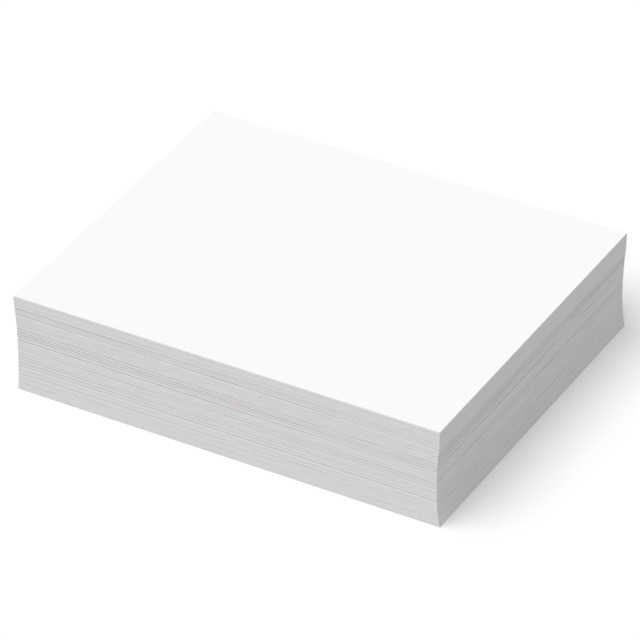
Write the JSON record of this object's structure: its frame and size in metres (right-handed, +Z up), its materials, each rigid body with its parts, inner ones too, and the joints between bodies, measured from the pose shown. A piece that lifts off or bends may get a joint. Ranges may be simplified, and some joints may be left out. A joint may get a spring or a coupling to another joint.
{
  "type": "ream of paper",
  "caption": "Stack of loose, plain white office paper, cut to letter size and squared up by hand, for printers, copiers and writing.",
  "frame": {"origin": "middle of the stack's foot, on the surface that it lies on", "axes": "+X along the length of the sheets, to the right; +Y along their width, to the back; +Z up"},
  "size_m": [0.2802, 0.2184, 0.064],
  "materials": {
    "paper": "smooth uncoated white paper"
  },
  "bodies": {
    "root": {"lift_01": "paper", "lift_02": "paper", "lift_03": "paper", "lift_04": "paper", "lift_05": "paper", "lift_06": "paper", "lift_07": "paper", "lift_08": "paper", "lift_09": "paper", "lift_10": "paper", "lift_11": "paper", "lift_12": "paper", "lift_13": "paper", "lift_14": "paper", "lift_15": "paper", "lift_16": "paper", "lift_17": "paper", "lift_18": "paper", "lift_19": "paper", "lift_20": "paper", "lift_21": "paper", "lift_22": "paper", "lift_23": "paper", "lift_24": "paper", "lift_25": "paper", "lift_26": "paper", "lift_27": "paper", "lift_28": "paper", "lift_29": "paper", "lift_30": "paper", "lift_31": "paper", "lift_32": "paper", "lift_33": "paper", "lift_34": "paper", "lift_35": "paper", "lift_36": "paper", "lift_37": "paper", "lift_38": "paper", "lift_39": "paper", "lift_40": "paper", "lift_41": "paper", "lift_42": "paper", "lift_43": "paper", "lift_44": "paper", "lift_45": "paper", "lift_46": "paper", "lift_47": "paper", "lift_48": "paper", "lift_49": "paper", "lift_50": "paper"}
  },
  "joints": []
}
